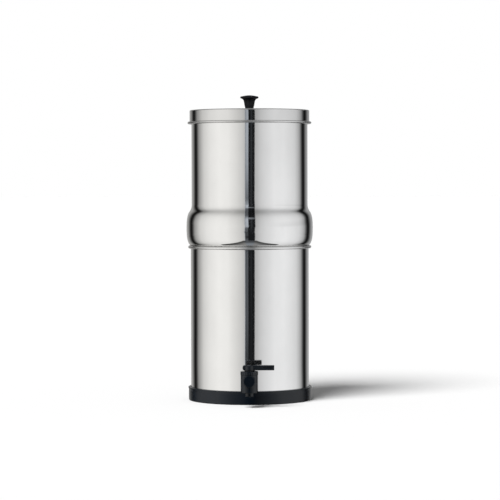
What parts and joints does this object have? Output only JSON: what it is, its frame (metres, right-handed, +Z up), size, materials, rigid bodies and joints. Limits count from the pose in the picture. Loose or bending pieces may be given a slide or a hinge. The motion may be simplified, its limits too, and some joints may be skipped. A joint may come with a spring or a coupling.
{
  "type": "gravity water filter with tap",
  "caption": "Polished steel gravity water filter: an upper chamber with filter candles stands in the mouth of a lower chamber with a quarter-turn tap, under a lift-off lid with a knob.",
  "frame": {"origin": "on the chambers' axis, in the plane of the base ring's underside, where the filter stands", "axes": "+Z up along the chambers' axis, -Y out through the tap, +X to the right as seen from the tap's side, where the closed lever points"},
  "size_m": [0.2142, 0.2747, 0.5169],
  "materials": {
    "lower_steel": "mirror-polished stainless steel sheet with faint upright polishing streaks",
    "upper_steel": "mirror-polished stainless steel sheet with faint upright polishing streaks",
    "lid_steel": "mirror-polished stainless steel sheet",
    "base_plastic": "satin black moulded plastic",
    "knob_plastic": "semi-gloss black moulded plastic",
    "tap_plastic": "semi-gloss black moulded plastic",
    "bonnet_plastic": "semi-gloss black moulded plastic with grip flutes",
    "lever_plastic": "semi-gloss black moulded plastic",
    "tap_nut_plastic": "plain black moulded plastic",
    "valve_plastic": "smooth white acetal",
    "black_rubber": "matt black rubber",
    "seal_rubber": "matt red silicone rubber",
    "nut_plastic": "plain white moulded plastic",
    "candle_plastic": "plain blue moulded plastic",
    "ceramic": "unglazed off-white porous ceramic",
    "carbon": "pressed black carbon block",
    "fixing_steel": "bright stainless steel"
  },
  "bodies": {
    "lower_body": {"lower_chamber": "lower_steel", "base_ring": "base_plastic", "tap_body": "tap_plastic", "tap_outer_washer": "black_rubber", "tap_inner_washer": "black_rubber", "tap_nut": "tap_nut_plastic", "tap_bonnet": "bonnet_plastic"},
    "tap_valve": {"tap_lever": "lever_plastic", "tap_plug": "valve_plastic", "tap_o_ring_lower": "black_rubber", "tap_o_ring_upper": "black_rubber", "tap_lever_screw": "fixing_steel"},
    "upper_body": {"upper_chamber": "upper_steel", "candle_shell_left": "ceramic", "candle_shell_right": "ceramic", "candle_core_left": "carbon", "candle_core_right": "carbon", "candle_mount_left": "candle_plastic", "candle_mount_right": "candle_plastic", "candle_seal_left": "seal_rubber", "candle_seal_right": "seal_rubber", "candle_wing_nut_left": "nut_plastic", "candle_wing_nut_right": "nut_plastic", "blanking_plug_front": "nut_plastic", "blanking_plug_back": "nut_plastic", "blanking_seal_front": "seal_rubber", "blanking_seal_back": "seal_rubber", "blanking_nut_front": "nut_plastic", "blanking_nut_back": "nut_plastic"},
    "lid_body": {"lid": "lid_steel", "lid_knob": "knob_plastic", "lid_knob_washer": "fixing_steel", "lid_knob_screw": "fixing_steel"}
  },
  "joints": [
    {"name": "chamber_lift", "type": "slide", "parent": "lower_body", "child": "upper_body", "axis": [0, 0, 1], "range_m": [0, 0.12]},
    {"name": "lid_lift", "type": "slide", "parent": "upper_body", "child": "lid_body", "axis": [0, 0, 1], "range_m": [0, 0.08]},
    {"name": "tap_turn", "type": "hinge", "parent": "lower_body", "child": "tap_valve", "pos_m": [0, -0.151, 0.0621], "axis": [0, 0, -1], "range_deg": [0, 90]}
  ]
}
